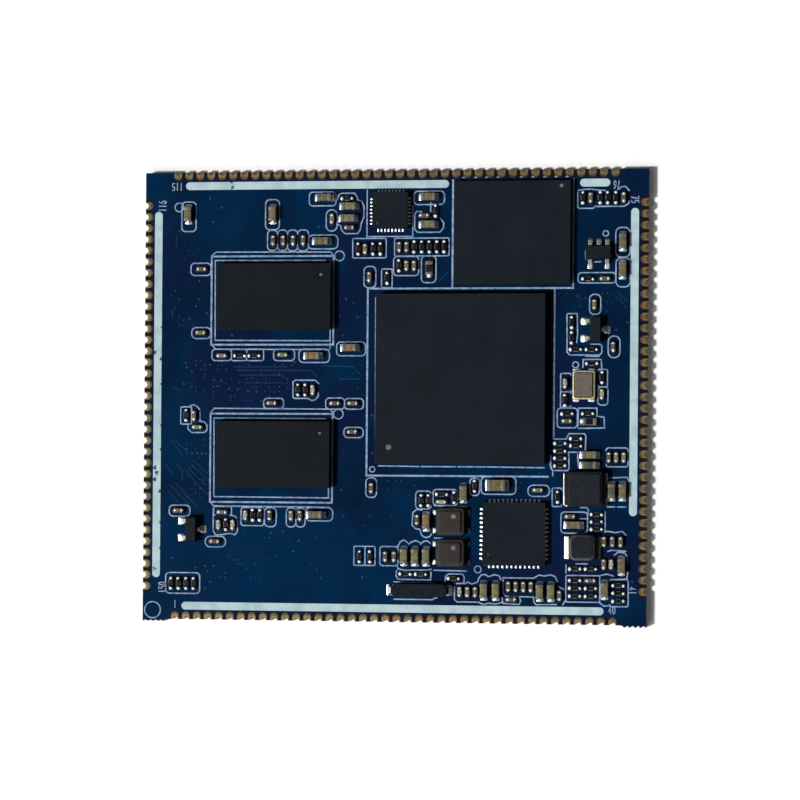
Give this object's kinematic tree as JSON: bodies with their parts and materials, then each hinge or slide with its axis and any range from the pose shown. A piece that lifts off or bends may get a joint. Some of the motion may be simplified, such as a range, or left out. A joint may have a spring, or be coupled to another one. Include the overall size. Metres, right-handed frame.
{
  "type": "castellated computing module",
  "caption": "Small dark blue computing module with a processor, memory and power chips, soldered down by plated half-hole pads along all its edges.",
  "frame": {"origin": "centre of the module's bounding box on the underside of the board", "axes": "+X along the longer side, +Y to the edge beside the flash chip, +Z out of the face with the parts"},
  "size_m": [0.057, 0.0508, 0.0028],
  "materials": {
    "solder_mask": "dark blue solder mask over glass laminate, semi-gloss",
    "pad_gold": "gold-plated copper, slightly worn",
    "ink": "matt white ink",
    "carrier": "thin dark green laminate",
    "moulding": "fine-grained black moulding compound",
    "solder": "bright solder",
    "tin_plate": "bright tin plating",
    "ferrite_brown": "brown-grey ferrite, matt",
    "ferrite_black": "black ferrite, matt",
    "crystal_ceramic": "matt ceramic",
    "lid_metal": "satin plated lid",
    "filter_ceramic": "dark matt ceramic",
    "capacitor_ceramic": "tan fired ceramic",
    "resistor_ceramic": "white fired ceramic",
    "resistor_coat": "black glassy coat"
  },
  "bodies": {
    "root": {"board": "solder_mask", "pads_front": "pad_gold", "pads_back": "pad_gold", "pads_left": "pad_gold", "pads_right": "pad_gold", "edge_bars": "ink", "chip_outlines": "ink", "processor_base": "carrier", "processor_mould": "moulding", "processor_balls": "solder", "memory_upper_base": "carrier", "memory_upper_mould": "moulding", "memory_upper_balls": "solder", "memory_lower_base": "carrier", "memory_lower_mould": "moulding", "memory_lower_balls": "solder", "flash_base": "carrier", "flash_mould": "moulding", "flash_balls": "solder", "power_chip_mould": "moulding", "power_chip_leads": "tin_plate", "power_chip_solder": "solder", "small_chip_mould": "moulding", "small_chip_leads": "tin_plate", "small_chip_solder": "solder", "regulator_mould": "moulding", "regulator_leads": "tin_plate", "transistor_left_mould": "moulding", "transistor_left_leads": "tin_plate", "transistor_right_mould": "moulding", "transistor_right_leads": "tin_plate", "leaded_part_solder": "solder", "brown_coil_bodies": "ferrite_brown", "brown_coil_terminals": "tin_plate", "large_coil_body": "ferrite_black", "large_coil_terminals": "tin_plate", "round_coil_body": "ferrite_black", "round_coil_terminals": "tin_plate", "crystal_base": "crystal_ceramic", "crystal_lid": "lid_metal", "crystal_solder": "solder", "filter_body": "filter_ceramic", "filter_ends": "tin_plate", "coil_and_filter_solder": "solder", "small_capacitors": "capacitor_ceramic", "small_capacitor_ends": "tin_plate", "mid_capacitors": "capacitor_ceramic", "mid_capacitor_ends": "tin_plate", "large_capacitor": "capacitor_ceramic", "large_capacitor_ends": "tin_plate", "resistors": "resistor_ceramic", "resistor_coats": "resistor_coat", "resistor_ends": "tin_plate", "mid_resistors": "resistor_ceramic", "mid_resistor_coats": "resistor_coat", "mid_resistor_ends": "tin_plate", "chip_part_solder": "solder"}
  },
  "joints": []
}
